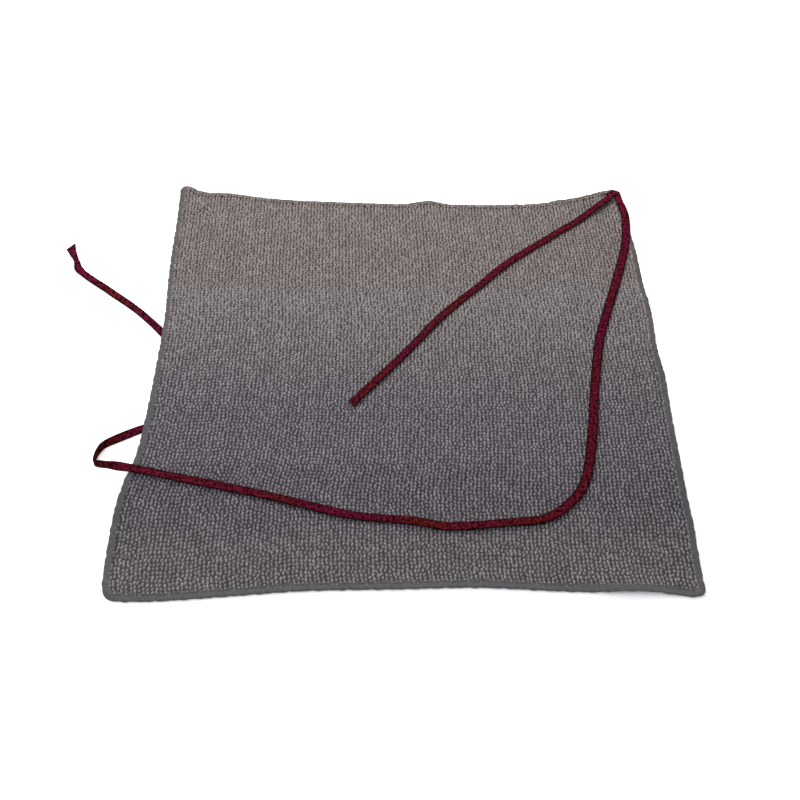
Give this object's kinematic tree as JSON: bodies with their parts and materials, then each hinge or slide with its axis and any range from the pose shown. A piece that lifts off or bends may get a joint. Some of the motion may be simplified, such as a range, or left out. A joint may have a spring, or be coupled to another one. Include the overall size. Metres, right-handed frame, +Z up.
{
  "type": "golf towel",
  "caption": "Square ribbed terry golf towel with overlocked edges, laid flat, and a flat tie tape sewn to one corner for tying it to a bag.",
  "frame": {"origin": "middle of the towel's footprint, on the surface it lies on, leaving out the tape's two free tails", "axes": "+X to the right along the near edge, +Y away to the far edge, +Z up; the tape is sewn to the +X +Y corner"},
  "size_m": [0.4998, 0.4026, 0.0074],
  "materials": {
    "terry": "ribbed loop-pile terry, matt grey",
    "edging": "overlocked grey thread",
    "tape": "woven maroon twill tape, slight sheen",
    "tack_thread": "maroon sewing thread"
  },
  "bodies": {
    "towel": {"towel_cloth": "terry", "overlock_left": "edging", "overlock_right": "edging", "overlock_top": "edging", "overlock_bottom": "edging", "tape_fold": "tape", "bar_tack": "tack_thread", "long_tail": "tape"},
    "short_tail": {"short_tail": "tape"}
  },
  "joints": [
    {"name": "short_tail_swing", "type": "hinge", "parent": "towel", "child": "short_tail", "pos_m": [0.19157, 0.18578, 0.007], "axis": [0, 0, 1], "range_deg": [-30, 20]}
  ]
}
